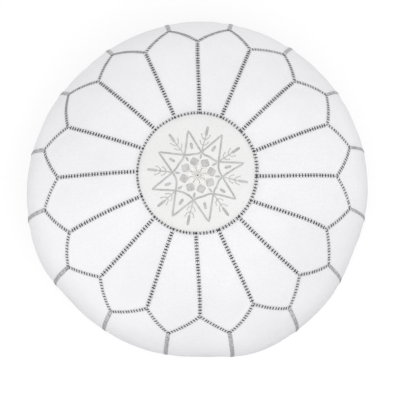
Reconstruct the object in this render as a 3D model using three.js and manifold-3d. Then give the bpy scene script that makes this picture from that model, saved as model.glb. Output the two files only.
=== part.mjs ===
// A round leather floor pouf: an embroidered medallion, a ring of petals, pointed side panels
// and a zipped base, sewn over a stuffed cotton bag.
// Millimetres, +Z up. The origin is where the pouf's axis meets the floor; the zip runs along X.
import * as THREE from "three";
import { mergeVertices } from "three/addons/utils/BufferGeometryUtils.js";
import Module from "manifold-3d";

// ---- Driving dimensions ------------------------------------------------------------------
const SECTORS = 16; // petals, and side panels
const GIRTH_R = 255; // widest radius
const GIRTH_Z = 141; // height of the widest level
const CROWN_RISE = 191; // from the widest level up to the crown
const CROWN_POWER = 2.5; // superellipse power of the upper half section
const BASE_R = 160; // zipped base disc
const BASE_SEAM_R = 163; // where the side panels end
const BASE_SEAM_LIFT = 0.6; // their lower edge over the floor
const MEDALLION_R = 84;
const VALLEY_R = 197; // where a radial seam meets the zigzag seam
const PEAK_R = 222; // a petal's outer point, where a side seam starts
const LEATHER = 2.4; // leather with its canvas backing
const PANEL_INSET = 0.25; // half of the gap between two panels
const SEAM_LIFT = 0.4; // clearance between a seam ridge and the leather below it
const SEAM_THICK = 1.5;
const LADDER_W = 5; // open ladder stitching, on the petals and round the medallion
const WRAPPED_W = 7; // close-wrapped stitching, down the sides
const PIPING_GAP = 0.4; // either side of the piping in the base seam
const BAG_CLEAR = 3.4; // between the leather and the inner bag
const BAG_CLOTH = 1.2;
const BAG_MOUTH_R = 40;
const OVER_ZIP = 14.5; // height of the bag's underside over the zip
const STUFFING_CLEAR = 0.6;

// Grids: petals and side panels are drawn on these, and sized by them for their insets.
const PETAL = { columns: 4, rows: 4, width: 34, length: 120 };
const SIDE = { columns: 4, rows: 9, width: 66, length: 250 };

// Hand sewing, from radial seam 0 on +X: how many degrees each of them swings round at the
// medallion, half way and at its other end, and each petal's outer point after it; and how far
// out its two ends and that point lie past their usual radii.
const JUNCTION_SWING = [-3.5, -1.5, -1, -0.5, -2, -0.5, -1, -1.5, -1, 0.5, 1.5, -0.5, -1.5, -2.5, -2.5, -5.5];
const BOW = [0.8, 0.3, 0.3, 0, 0.6, 0.3, 0.4, 0.7, 0.5, -0.4, 0.4, 0.5, 0.9, 0.7, 0, 1.9];
const VALLEY_SWING = [0.5, 0, 0, 0.5, 0, 0, 0.5, 1, 0, 1, 1, 1.5, 1, 1, 1, 0.5];
const PEAK_SWING = [1, 0, -0.5, -0.5, -0.5, 0, -0.5, 0, 0, 0.5, 0.5, 0.5, 0.5, 1.5, 0.5, 0.5];
const JUNCTION_OUT = [-2.5, -0.5, -0.5, 0.5, 0, -0.5, -0.5, -1.5, -1, -0.5, 1, 1, 0, 0.5, -0.5, -1];
const VALLEY_OUT = [-1, 2, -2, 3, 0, -1, 3, 1, -1, -3, -1, 1, 0, -4, 0, -1];
const PEAK_OUT = [0, 0, -1, 4, 2, 3, 6, 2, -3, -2, 3, 2, -1, -1, 0, -1];
// Hand stuffing: how far each side panel stands out at the girth, from the panel on +X.
const FULLNESS = [3, 3.5, 3.5, 3, 2, -1.5, -3, 0.5, 4, 7, -0.5, -1, -3.5, 6.5, 4, -1];

// The medallion's star outline: radii of its tips and valleys, and the first tip's azimuth.
const STAR = { points: 8, tip: 66, valley: 36, turn: 14, band: 2.4, mitre: 2.4, thick: 0.8 };

// The zip, seen along X: slider plate, coil and tape lie one above the other in a recess,
// over the edges of the leather.
const RECESS = { depth: 8, flatX: 138, outerX: 152, flatY: 16, outerY: 30 };
const SLIT_X = 128; // half length of the zip's opening
const SLIT_Y = 5; // half width between the leather's edges
const PLAIN_SEAM_Y = 0.3; // half gap where the base halves are sewn together
const TAPE = { x: 135, inner: 0.9, outer: 17, low: 10.8, high: 11.6 };
const COIL = { x: 124, inner: 0.6, outer: 3, low: 7.9, high: 10.4 };
const STOP = { gap: 0.5, length: 3, outer: 3.7, low: 7.4 };
const SLIDER = { x: 113, half: 9, side: 5.6, plate: 1.5, low: 5.9, high: 11.9 };
const FLANGE = { inner: 3.4, outer: 4.6, high: 9.8 };
const WEDGE = { from: 3, to: 8, side: 0.3 };
const BAIL = { half: 5, bar: 1.2, side: 1.4, low: 2.4 };
const PULL = { pivotZ: 4.75, thick: 1.4, arm: 2.2, armSide: 3.5, side: 4.5, ring: 6.5, end: 28, tilt: 7.5 };

// ---- Materials ---------------------------------------------------------------------------
const finish = (color, roughness, metalness = 0) =>
  new THREE.MeshStandardMaterial({ color, roughness, metalness });
const WHITE_LEATHER = finish(0xf0eef1, 0.5);
const MEDALLION_LEATHER = finish(0xf1f0ee, 0.55);
const SEAM_THREAD = finish(0x77777c, 0.75);
const SILVER_THREAD = finish(0xb9b9b7, 0.6);
const COTTON = finish(0xe6e0d2, 0.9);
const FIBRE = finish(0xf4f2ec, 0.95);
const TAPE_WHITE = finish(0xdcdad8, 0.85);
const NYLON = finish(0xd6d4d2, 0.45);
const NICKEL = finish(0xb8b8ba, 0.3, 1);

const wasm = await Module();
wasm.setup();
const pouf = new THREE.Group();

function add(name, geometry, material) {
  const mesh = new THREE.Mesh(geometry, material);
  mesh.name = name;
  pouf.add(mesh);
}

// ---- Closed meshes -----------------------------------------------------------------------
const { clamp, degToRad, lerp, smoothstep } = THREE.MathUtils;
const listOf = (count, make) => Array.from({ length: count }, (_, i) => make(i));

// One closed surface from triangles of points: equal points are shared, collapsed triangles go.
function closedMesh(triangles) {
  const found = new Map();
  const positions = [];
  const index = [];
  const numberOf = (p) => {
    const key = [p.x, p.y, p.z].map((v) => v.toFixed(3)).join();
    if (!found.has(key)) {
      found.set(key, found.size);
      positions.push(p.x, p.y, p.z);
    }
    return found.get(key);
  };
  for (const triangle of triangles) {
    const [a, b, c] = triangle.map(numberOf);
    if (a !== b && b !== c && c !== a) index.push(a, b, c);
  }
  const geometry = new THREE.BufferGeometry();
  geometry.setAttribute("position", new THREE.Float32BufferAttribute(positions, 3));
  geometry.setIndex(index);
  return geometry;
}

// A plate between two grids of points, outer and inner, each an array of rows.
// The rows run so that (along a row) x (to the next row) points inwards.
// A looped grid closes each row on itself; an open one gets walls along its sides.
function plate(outer, inner, looped = false) {
  const triangles = [];
  const quad = (a, b, c, d) => triangles.push([a, b, c], [a, c, d]);
  const [bottom, side] = [outer.length - 1, outer[0].length - 1];
  const steps = looped ? side + 1 : side;
  for (let i = 0; i < steps; i++) {
    const k = (i + 1) % (side + 1);
    for (let j = 0; j < bottom; j++) {
      quad(outer[j][i], outer[j + 1][i], outer[j + 1][k], outer[j][k]);
      quad(inner[j][i], inner[j][k], inner[j + 1][k], inner[j + 1][i]);
    }
    quad(outer[0][i], outer[0][k], inner[0][k], inner[0][i]);
    quad(outer[bottom][i], inner[bottom][i], inner[bottom][k], outer[bottom][k]);
  }
  for (let j = 0; !looped && j < bottom; j++) {
    quad(outer[j][0], inner[j][0], inner[j + 1][0], outer[j + 1][0]);
    quad(outer[j][side], outer[j + 1][side], inner[j + 1][side], inner[j][side]);
  }
  return closedMesh(triangles);
}

// Several closed meshes as one.
function joined(geometries) {
  const solidOf = (geometry) => {
    const bare = geometry.clone().deleteAttribute("normal").deleteAttribute("uv");
    const merged = mergeVertices(bare);
    const vertProperties = new Float32Array(merged.getAttribute("position").array);
    const triVerts = new Uint32Array(merged.index.array);
    return new wasm.Manifold(new wasm.Mesh({ numProp: 3, vertProperties, triVerts }));
  };
  const mesh = geometries.map(solidOf).reduce((whole, next) => whole.add(next)).getMesh();
  const geometry = new THREE.BufferGeometry();
  geometry.setAttribute("position", new THREE.BufferAttribute(mesh.vertProperties, 3));
  geometry.setIndex(new THREE.BufferAttribute(mesh.triVerts, 1));
  return geometry;
}

// A box between two opposite corners.
function box(from, to) {
  const [low, high] = [new THREE.Vector3(...from), new THREE.Vector3(...to)];
  const size = high.clone().sub(low);
  const middle = low.lerp(high, 0.5);
  return new THREE.BoxGeometry(...size.toArray().map(Math.abs)).translate(...middle.toArray());
}

// ---- The outer skin ----------------------------------------------------------------------
// Half section from the crown to the base seam: x is the radius, y the height.
class SkinProfile extends THREE.Curve {
  constructor() {
    super();
    this.arcLengthDivisions = 2000;
    this.underside = new THREE.CubicBezierCurve(
      new THREE.Vector2(GIRTH_R, GIRTH_Z),
      new THREE.Vector2(GIRTH_R, 0.42 * GIRTH_Z),
      new THREE.Vector2(0.91 * GIRTH_R, BASE_SEAM_LIFT),
      new THREE.Vector2(BASE_SEAM_R, BASE_SEAM_LIFT),
    );
  }
  getPoint(t) {
    if (t > 0.5) return this.underside.getPoint(2 * t - 1);
    const bend = 2 / CROWN_POWER;
    const radius = GIRTH_R * Math.sin(t * Math.PI) ** bend;
    const rise = CROWN_RISE * Math.max(0, Math.cos(t * Math.PI)) ** bend;
    return new THREE.Vector2(radius, GIRTH_Z + rise);
  }
}
const profile = new SkinProfile();

// The share of the profile's length, from the crown, at which its upper half has this radius.
function shareAtRadius(radius) {
  let [low, high] = [0, 1];
  for (let step = 0; step < 40; step++) {
    const middle = (low + high) / 2;
    const point = profile.getPointAt(middle);
    if (point.y > GIRTH_Z && point.x < radius) low = middle;
    else high = middle;
  }
  return low;
}
const U_MEDALLION = shareAtRadius(MEDALLION_R);

const PITCH = (2 * Math.PI) / SECTORS;
const entry = (list, k) => list[((k % SECTORS) + SECTORS) % SECTORS];

function fullness(phi, radius) {
  const k = Math.floor(phi / PITCH);
  const ease = (1 - Math.cos(Math.PI * (phi / PITCH - k))) / 2;
  const reach = smoothstep(radius, BASE_R, GIRTH_R);
  return reach * lerp(entry(FULLNESS, k), entry(FULLNESS, k + 1), ease);
}

function skinPoint(phi, u) {
  const p = profile.getPointAt(clamp(u, 0, 1));
  const r = p.x + fullness(phi, p.x);
  return new THREE.Vector3(r * Math.cos(phi), r * Math.sin(phi), p.y);
}

// A point over (or, with a negative lift, under) the skin, at azimuth phi and share u.
function skin(phi, u, lift = 0) {
  const point = skinPoint(phi, u);
  if (u === 0) return point.setZ(point.z + lift);
  const step = 1e-3;
  const down = skinPoint(phi, u + step).sub(skinPoint(phi, u - step));
  const round = skinPoint(phi + step, u).sub(skinPoint(phi - step, u));
  return point.addScaledVector(down.cross(round).normalize(), lift);
}

// ---- Leather panels ----------------------------------------------------------------------
// A turn counts sectors round the axis: radial seams start at whole turns, side seams between.
// The zigzag's corners, two to a sector, each with its swing round and its share u.
const corners = listOf(2 * SECTORS, (i) => {
  const k = Math.floor(i / 2);
  return i % 2
    ? { swing: degToRad(PEAK_SWING[k]), u: shareAtRadius(PEAK_R + PEAK_OUT[k]) }
    : { swing: degToRad(VALLEY_SWING[k]), u: shareAtRadius(VALLEY_R + VALLEY_OUT[k]) };
});

function zigzag(turn) {
  const i = Math.floor(2 * turn) + corners.length;
  const [from, to] = [corners[i % corners.length], corners[(i + 1) % corners.length]];
  const share = 2 * turn + corners.length - i;
  return { swing: lerp(from.swing, to.swing, share), u: lerp(from.u, to.u, share) };
}

// Each panel's place(across, down) gives [phi, u]; both arguments run from 0 to 1.
const junctionShares = JUNCTION_OUT.map((out) => shareAtRadius(MEDALLION_R + out));

function petalPlace(k, across, down) {
  const read = (list) => lerp(entry(list, k), entry(list, k + 1), across);
  const outer = zigzag(k + across);
  const bow = 4 * down * (1 - down) * degToRad(read(BOW));
  const phi = PITCH * (k + across) + lerp(degToRad(read(JUNCTION_SWING)), outer.swing, down) + bow;
  return [phi, lerp(read(junctionShares), outer.u, down)];
}

function sidePlace(k, across, down) {
  const turn = k - 0.5 + across;
  const outer = zigzag(turn);
  return [PITCH * turn + lerp(outer.swing, 0, down), lerp(outer.u, 1, down)];
}

// A panel is drawn in a little from its seam lines.
function panel(place, size) {
  const [insetAcross, insetDown] = [PANEL_INSET / size.width, PANEL_INSET / size.length];
  const grid = (lift) =>
    listOf(size.rows + 1, (j) =>
      listOf(size.columns + 1, (i) => {
        const across = lerp(insetAcross, 1 - insetAcross, i / size.columns);
        const down = lerp(insetDown, 1 - insetDown, j / size.rows);
        return skin(...place(across, down), lift);
      }),
    );
  return plate(grid(0), grid(-LEATHER));
}

const numbered = (name, k) => `${name}_${String(k + 1).padStart(2, "0")}`;
for (let k = 0; k < SECTORS; k++) {
  add(numbered("petal", k), panel((...at) => petalPlace(k, ...at), PETAL), WHITE_LEATHER);
  add(numbered("side_panel", k), panel((...at) => sidePlace(k, ...at), SIDE), WHITE_LEATHER);
}

// Round the medallion's edge: the corners of the petals' inner edges.
const ring = listOf(SECTORS * PETAL.columns, (i) =>
  petalPlace(Math.floor(i / PETAL.columns), (i % PETAL.columns) / PETAL.columns, 0),
);

function medallion() {
  const shares = [0, 0.6, 1 - PANEL_INSET / MEDALLION_R];
  const grid = (lift) => shares.map((share) => ring.map(([phi, u]) => skin(phi, share * u, lift)));
  return plate(grid(0), grid(-LEATHER), true);
}
add("medallion", medallion(), MEDALLION_LEATHER);

// ---- Seams -------------------------------------------------------------------------------
// A flat ridge of the given width along a route of [phi, u] places, lying just over the skin.
function ridge(route, width, looped = false) {
  const centres = route.map(([phi, u]) => skin(phi, u));
  const count = centres.length;
  const neighbour = (j, step) =>
    centres[looped ? (j + step + count) % count : clamp(j + step, 0, count - 1)];
  const edge = (way, lift) =>
    centres.map((centre, j) => {
      const up = skin(...route[j], 1).sub(centre);
      const along = neighbour(j, 1).clone().sub(neighbour(j, -1));
      const across = up.clone().cross(along).setLength((way * width) / 2);
      return centre.clone().addScaledVector(up, lift).add(across);
    });
  const grid = (lift) => [1, -1].map((way) => edge(way, lift));
  return plate(grid(SEAM_LIFT + SEAM_THICK), grid(SEAM_LIFT), looped);
}

// The stitching of the cover is one net: the zigzag, the radial seams inside it and the side
// seams below it. A side seam's ridge ends a row before the base, clear of the floor.
function coverSeams() {
  const ringClear = (LADDER_W / 2 + SEAM_LIFT) / PETAL.length;
  const zigzagRoute = listOf(SECTORS * PETAL.columns, (i) =>
    petalPlace(Math.floor(i / PETAL.columns), (i % PETAL.columns) / PETAL.columns, 1),
  );
  const ridges = [ridge(zigzagRoute, LADDER_W, true)];
  for (let k = 0; k < SECTORS; k++) {
    const radial = listOf(PETAL.rows + 1, (j) => petalPlace(k, 0, Math.max(j / PETAL.rows, ringClear)));
    const side = listOf(SIDE.rows, (j) => sidePlace(k, 0, j / SIDE.rows));
    ridges.push(ridge(radial, LADDER_W), ridge(side, WRAPPED_W));
  }
  return joined(ridges);
}
add("cover_seams", coverSeams(), SEAM_THREAD);
add("medallion_seam", ridge(ring, LADDER_W, true), SEAM_THREAD);

function star() {
  const corner = (i, offset, lift) => {
    const radius = i % 2 ? STAR.valley + offset : STAR.tip + STAR.mitre * offset;
    const phi = degToRad(STAR.turn + (180 * i) / STAR.points);
    return skin(phi, (radius / MEDALLION_R) * U_MEDALLION, lift);
  };
  const grid = (lift) =>
    [-STAR.band / 2, STAR.band / 2].map((offset) =>
      listOf(2 * STAR.points, (i) => corner(i, offset, lift)),
    );
  return plate(grid(SEAM_LIFT + STAR.thick), grid(SEAM_LIFT), true);
}
add("medallion_star", star(), SILVER_THREAD);

// ---- Base --------------------------------------------------------------------------------
const fade = (value, full, none) => 1 - smoothstep(Math.abs(value), full, none);
const recess = (x, y) =>
  RECESS.depth * fade(x, RECESS.flatX, RECESS.outerX) * fade(y, RECESS.flatY, RECESS.outerY);

// Half of the base disc, on the side of Y that side (1 or -1) says. Its grid lines crowd
// where the leather rises into the recess.
function baseHalf(side) {
  const rim = BASE_R - PANEL_INSET;
  const half = [0, 32, 64, 96, SLIT_X, SLIT_X + 3, RECESS.flatX, 143, 147, RECESS.outerX, 0.995 * rim];
  const stations = [...half.slice(1).reverse().map((x) => -x), ...half];
  const distances = [0, 5.5, 11, 15, 20, 25, 60];
  const grid = (lift) =>
    stations.map((x) => {
      const edge = Math.abs(x) <= SLIT_X ? SLIT_Y : PLAIN_SEAM_Y;
      const width = Math.sqrt(rim ** 2 - x ** 2) - edge;
      const evenly = (j) => (width * j) / distances.length;
      return [...distances.map((d, j) => Math.min(d, evenly(j))), width].map(
        (d) => new THREE.Vector3(x, side * (edge + d), recess(x, edge + d) + lift),
      );
    });
  return side > 0 ? plate(grid(LEATHER), grid(0)) : plate(grid(0), grid(LEATHER));
}

// The piping in the base seam, between the base disc and the side panels.
function basePiping() {
  const [inner, outer] = [BASE_R + PIPING_GAP, BASE_SEAM_R - PIPING_GAP];
  const [low, high] = [BASE_SEAM_LIFT, BASE_SEAM_LIFT + LEATHER];
  const corners = [
    [inner, low],
    [outer, low],
    [outer, high],
    [inner, high],
    [inner, low],
  ];
  const section = corners.map(([radius, height]) => new THREE.Vector2(radius, height));
  return new THREE.LatheGeometry(section, 3 * SECTORS).rotateX(Math.PI / 2);
}
add("base_piping", basePiping(), WHITE_LEATHER);

// ---- Zip ---------------------------------------------------------------------------------
const stopFrom = COIL.x + STOP.gap;
const stopTo = stopFrom + STOP.length;
for (const [name, side] of [
  ["left", 1],
  ["right", -1],
]) {
  const strip = (x0, x1, y0, y1, z0, z1) => box([x0, side * y0, z0], [x1, side * y1, z1]);
  add(`base_half_${name}`, baseHalf(side), WHITE_LEATHER);
  const tape = strip(-TAPE.x, TAPE.x, TAPE.inner, TAPE.outer, TAPE.low, TAPE.high);
  add(`zip_tape_${name}`, tape, TAPE_WHITE);
  const coil = strip(-COIL.x, COIL.x, COIL.inner, COIL.outer, COIL.low, COIL.high);
  add(`zip_coil_${name}`, coil, NYLON);
  const topStop = strip(stopFrom, stopTo, COIL.inner, STOP.outer, STOP.low, COIL.high);
  add(`zip_top_stop_${name}`, topStop, NICKEL);
}
add("zip_bottom_stop", box([-stopTo, -STOP.outer, STOP.low], [-stopFrom, STOP.outer, COIL.high]), NICKEL);

// The slider: an outer plate with side flanges, a wedge through the slit and an inner plate.
// The bail under the outer plate holds the pull.
function slider() {
  const { x, half, side, plate: thick, low, high } = SLIDER;
  const block = (x0, x1, y0, y1, z0, z1) => box([x + x0, y0, z0], [x + x1, y1, z1]);
  const middle = (x0, x1, y, z0, z1) => block(x0, x1, -y, y, z0, z1);
  const inPlate = low + thick / 2;
  return joined([
    middle(-half, half, side, low, low + thick),
    middle(-half, half, side, high, high + thick),
    middle(WEDGE.from, WEDGE.to, WEDGE.side, inPlate, high + thick / 2),
    block(-half, half, FLANGE.inner, FLANGE.outer, inPlate, FLANGE.high),
    block(-half, half, -FLANGE.outer, -FLANGE.inner, inPlate, FLANGE.high),
    middle(-BAIL.half, BAIL.half, BAIL.side, BAIL.low, BAIL.low + BAIL.bar),
    middle(-BAIL.half, -BAIL.half + BAIL.bar, BAIL.side, BAIL.low, inPlate),
    middle(BAIL.half - BAIL.bar, BAIL.half, BAIL.side, BAIL.low, inPlate),
  ]);
}
add("zip_slider", slider(), NICKEL);

// The pull: a pin in the bail, two arms and a tab. Its tip hangs just clear of the floor.
function pull() {
  const { thick, arm, armSide, side, ring: ringEnd, end } = PULL;
  const bar = (x0, x1, y0, y1) => box([-x0, y0, -thick / 2], [-x1, y1, thick / 2]);
  const outline = joined([
    bar(-thick / 2, thick / 2, -armSide, armSide),
    bar(-thick / 2, ringEnd + thick, arm, armSide),
    bar(-thick / 2, ringEnd + thick, -armSide, -arm),
    bar(ringEnd, end, -side, side),
  ]);
  return outline.rotateY(-degToRad(PULL.tilt)).translate(SLIDER.x, 0, PULL.pivotZ);
}
add("zip_pull", pull(), NICKEL);

// ---- Inner bag and stuffing --------------------------------------------------------------
// Rows of a soft layer, a depth inside the skin, from the crown down and in under the pouf,
// where it stays over the zip's recess.
const LAYER_COLUMNS = 24;
const LAYER_SHARES = [0, 0.12, 0.25, 0.37, 0.48, 0.58, 0.68, 0.78, 0.87, 0.94, 1];
const FLOOR_RADII = [150, 115, 80, BAG_MOUTH_R];
const BAG_DEPTH = LEATHER + BAG_CLEAR;

function layer(depth, floorRadii) {
  const angles = listOf(LAYER_COLUMNS, (i) => (2 * Math.PI * i) / LAYER_COLUMNS);
  const upper = LAYER_SHARES.map((u) => angles.map((phi) => skin(phi, u, -depth)));
  const lower = floorRadii.map((radius) =>
    angles.map((phi) => {
      const [x, y] = [radius * Math.cos(phi), radius * Math.sin(phi)];
      const raised = fade(x, 150, 175) * fade(y, 24, 48);
      return new THREE.Vector3(x, y, depth + lerp(BASE_SEAM_LIFT, OVER_ZIP - BAG_DEPTH, raised));
    }),
  );
  return [...upper, ...lower];
}

const bagInside = BAG_DEPTH + BAG_CLOTH;
add("inner_bag", plate(layer(BAG_DEPTH, FLOOR_RADII), layer(bagInside, FLOOR_RADII), true), COTTON);

function stuffing() {
  const rows = layer(bagInside + STUFFING_CLEAR, [...FLOOR_RADII, 0]);
  const triangles = [];
  for (let j = 0; j + 1 < rows.length; j++)
    for (let i = 0; i < LAYER_COLUMNS; i++) {
      const k = (i + 1) % LAYER_COLUMNS;
      triangles.push([rows[j][i], rows[j + 1][i], rows[j + 1][k]]);
      triangles.push([rows[j][i], rows[j + 1][k], rows[j][k]]);
    }
  return closedMesh(triangles);
}
add("stuffing", stuffing(), FIBRE);

export default pouf;
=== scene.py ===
"""Looks of a round leather floor pouf, built round its CAD model in metres, +Z up.

The cover is one skin, given by a half section and by how far each panel is stuffed. Every panel,
seam and stitch is placed on it by a turn (sectors round the axis) and a share of the section.
"""

import math

import bmesh
import bpy
import numpy as np
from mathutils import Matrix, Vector, noise


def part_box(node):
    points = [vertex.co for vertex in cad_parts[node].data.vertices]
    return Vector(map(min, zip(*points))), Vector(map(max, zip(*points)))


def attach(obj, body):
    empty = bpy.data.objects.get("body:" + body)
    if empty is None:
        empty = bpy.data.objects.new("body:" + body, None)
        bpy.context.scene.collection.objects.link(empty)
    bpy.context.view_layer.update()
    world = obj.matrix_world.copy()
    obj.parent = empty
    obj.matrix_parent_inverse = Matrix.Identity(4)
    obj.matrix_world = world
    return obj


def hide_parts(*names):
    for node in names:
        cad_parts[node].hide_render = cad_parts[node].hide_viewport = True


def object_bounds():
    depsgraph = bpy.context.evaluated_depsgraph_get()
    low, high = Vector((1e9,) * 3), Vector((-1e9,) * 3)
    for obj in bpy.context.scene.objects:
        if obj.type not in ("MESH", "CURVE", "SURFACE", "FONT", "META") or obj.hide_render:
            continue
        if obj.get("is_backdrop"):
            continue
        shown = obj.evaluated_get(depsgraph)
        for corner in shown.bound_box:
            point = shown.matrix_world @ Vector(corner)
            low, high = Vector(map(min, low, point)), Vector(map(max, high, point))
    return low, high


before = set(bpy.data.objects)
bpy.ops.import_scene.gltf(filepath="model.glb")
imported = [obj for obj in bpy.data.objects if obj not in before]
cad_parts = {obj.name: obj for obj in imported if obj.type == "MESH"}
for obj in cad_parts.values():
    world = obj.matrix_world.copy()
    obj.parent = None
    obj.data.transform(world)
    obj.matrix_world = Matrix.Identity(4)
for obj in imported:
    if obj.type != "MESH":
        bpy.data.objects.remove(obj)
cad_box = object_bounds()

MM = 0.001
UP = np.array([0, 0, 1.0])
COVER, SLIDER, PULL = "pouf", "slider", "pull"  # the bodies

# ---- The cover's own dimensions, as in the CAD ----
SECTORS = 16
TURN = 2 * math.pi
PITCH = TURN / SECTORS
GIRTH_R, GIRTH_Z = 0.255, 0.141
CROWN_RISE, CROWN_POWER = 0.191, 2.5
FLANK, TUCK = 0.42, 0.91  # where the side starts to turn under, as shares of girth height and radius
BASE_SEAM_R, BASE_SEAM_LIFT = 0.163, 0.0006
STUFFED_FROM_R = 0.160  # inside this the stuffing leaves the cover round
MEDALLION_R, VALLEY_R, PEAK_R = 0.084, 0.197, 0.222
# Hand sewing: degrees that each seam swings round at the medallion, half way, and at the
# zigzag's two kinds of corner, and how far its corners lie past their usual radii, in millimetres.
JUNCTION_SWING = [-3.5, -1.5, -1, -0.5, -2, -0.5, -1, -1.5, -1, 0.5, 1.5, -0.5, -1.5, -2.5, -2.5, -5.5]
BOW = [0.8, 0.3, 0.3, 0, 0.6, 0.3, 0.4, 0.7, 0.5, -0.4, 0.4, 0.5, 0.9, 0.7, 0, 1.9]
VALLEY_SWING = [0.5, 0, 0, 0.5, 0, 0, 0.5, 1, 0, 1, 1, 1.5, 1, 1, 1, 0.5]
PEAK_SWING = [1, 0, -0.5, -0.5, -0.5, 0, -0.5, 0, 0, 0.5, 0.5, 0.5, 0.5, 1.5, 0.5, 0.5]
JUNCTION_OUT = [-2.5, -0.5, -0.5, 0.5, 0, -0.5, -0.5, -1.5, -1, -0.5, 1, 1, 0, 0.5, -0.5, -1]
VALLEY_OUT = [-1, 2, -2, 3, 0, -1, 3, 1, -1, -3, -1, 1, 0, -4, 0, -1]
PEAK_OUT = [0, 0, -1, 4, 2, 3, 6, 2, -3, -2, 3, 2, -1, -1, 0, -1]
# Hand stuffing: how far each side panel stands out at the girth, in millimetres.
FULLNESS = [3, 3.5, 3.5, 3, 2, -1.5, -3, 0.5, 4, 7, -0.5, -1, -3.5, 6.5, 4, -1]
BASE_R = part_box("base_half_left")[1][1]

# ---- Thread and leather ----
LEATHER_THICK = 0.0022
SEAM_RISE = 0.0004  # seam lines over the skin: they are the outermost corners of the cover
EDGE_ROLL, EDGE_DROP = 0.0018, 0.0008  # a panel's edge turns in by the drop over the roll
LADDER_W, LADDER_PITCH = 0.0053, 0.0044
RING_W, RING_PITCH = 0.0043, 0.0046
RING_SWELL = 0.2  # how much wider the ring was sewn on +X, and narrower on -X
ZIGZAG_W = 0.005
WRAPPED_W, WRAPPED_PITCH = 0.0066, 0.0028
WRAPPED_SLIMMER = 0.24  # how much narrower the bands that face +X are


# ---- The skin ----
def make_section(steps=2000):
    """The half section, crown to base seam: share of its length, radius, height."""
    turn = np.linspace(0, math.pi / 2, steps + 1)
    bend = 2 / CROWN_POWER
    upper = [GIRTH_R * np.sin(turn) ** bend, GIRTH_Z + CROWN_RISE * np.cos(turn).clip(0) ** bend]
    t = np.linspace(0, 1, steps + 1)[1:]
    foot = [(TUCK * GIRTH_R, BASE_SEAM_LIFT), (BASE_SEAM_R, BASE_SEAM_LIFT)]
    corners = [(GIRTH_R, GIRTH_Z), (GIRTH_R, FLANK * GIRTH_Z), *foot]
    weights = [(1 - t) ** 3, 3 * t * (1 - t) ** 2, 3 * t**2 * (1 - t), t**3]
    lower = [sum(w * corner[axis] for w, corner in zip(weights, corners)) for axis in (0, 1)]
    radius = np.concatenate([upper[0], lower[0]])
    height = np.concatenate([upper[1], lower[1]])
    length = np.concatenate([[0], np.hypot(np.diff(radius), np.diff(height)).cumsum()])
    return length / length[-1], radius, height


SHARE, RADIUS, HEIGHT = make_section()
GIRTH_STEP = int(np.argmax(RADIUS))


def share_at(radius):
    """The share of the section at a radius on the upper side."""
    return np.interp(radius, RADIUS[:GIRTH_STEP], SHARE[:GIRTH_STEP])


JUNCTION_U = share_at(MEDALLION_R + MM * np.array(JUNCTION_OUT))
VALLEY_U = share_at(VALLEY_R + MM * np.array(VALLEY_OUT))
PEAK_U = share_at(PEAK_R + MM * np.array(PEAK_OUT))


def smoothstep(value, low, high):
    t = np.clip((value - low) / (high - low), 0, 1)
    return t * t * (3 - 2 * t)


def mix(a, b, t):
    return a + (b - a) * t


def between(values, place, ease=False):
    """Values listed all round the pouf, read between their places."""
    values = np.asarray(values, float)
    k = np.floor(place).astype(int)
    share = place - k
    if ease:
        share = (1 - np.cos(math.pi * share)) / 2
    return mix(values[k % len(values)], values[(k + 1) % len(values)], share)


def skin_point(phi, u):
    radius = np.interp(u, SHARE, RADIUS)
    spread = MM * between(FULLNESS, phi / PITCH, ease=True)
    radius = radius + smoothstep(radius, STUFFED_FROM_R, GIRTH_R) * spread
    return np.stack([radius * np.cos(phi), radius * np.sin(phi), np.interp(u, SHARE, HEIGHT)], -1)


def unit(v):
    return v / np.linalg.norm(v, axis=-1, keepdims=True).clip(1e-12)


def skin(phi, u):
    """Points of the skin and their outward normals."""
    phi, u = np.broadcast_arrays(np.asarray(phi, float), np.asarray(u, float))
    step = 2e-3
    near = np.clip(u, 2 * step, 1)
    down = skin_point(phi, near + step) - skin_point(phi, near - step)
    across = skin_point(phi + step, near) - skin_point(phi - step, near)
    return skin_point(phi, u), unit(np.cross(down, across))


def junction(turn):
    """The medallion's edge: its share of the section, and how far round it is swung."""
    return between(JUNCTION_U, turn), np.radians(between(JUNCTION_SWING, turn))


def zigzag(turn):
    """The zigzag seam's share of the section, and how far round it is swung."""
    shares = np.stack([VALLEY_U, PEAK_U], 1).ravel()
    swings = np.radians(np.stack([VALLEY_SWING, PEAK_SWING], 1).ravel())
    return between(shares, 2 * turn), between(swings, 2 * turn)


# Each part of the cover turns a place (turn, down) into (phi, u); down runs from 0 to 1.
def medallion_place(turn, down):
    edge, swung = junction(turn)
    return PITCH * turn + swung, edge * down


def petal_place(turn, down):
    inner, inner_swing = junction(turn)
    outer, outer_swing = zigzag(turn)
    bow = 4 * down * (1 - down) * np.radians(between(BOW, turn))
    return PITCH * turn + mix(inner_swing, outer_swing, down) + bow, mix(inner, outer, down)


def side_place(turn, down):
    u, swung = zigzag(turn)
    return PITCH * turn + swung * (1 - down), mix(u, 1, down)


# ---- Small numeric tools ----
def wobble(points, size, seed=0):
    """Smooth noise between about -1 and 1 whose features have the given size."""
    flat = points.reshape(-1, 3) / size + 13.7 * seed
    values = [noise.noise(Vector(p)) for p in flat.tolist()]
    return np.array(values).reshape(points.shape[:-1])


def lengths_along(points, axis):
    """How far each point is along its grid line, from the line's start and from its end."""
    steps = np.linalg.norm(np.diff(points, axis=axis), axis=-1)
    start = np.zeros_like(np.take(steps, [0], axis=axis))
    run = np.concatenate([start, np.cumsum(steps, axis=axis)], axis=axis)
    return run, np.take(run, [-1], axis=axis) - run


def spaced(size, step):
    """Shares from 0 to 1 about a step apart, and closer where an edge turns in."""
    edge = np.array([0.15, 0.45, 0.9, 1.5, 2.3]) * MM / size
    inset = 3.6 * MM / size
    inner = np.linspace(inset, 1 - inset, max(3, round(size / step)))
    return np.concatenate([edge, inner, 1 - edge[::-1]])


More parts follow.
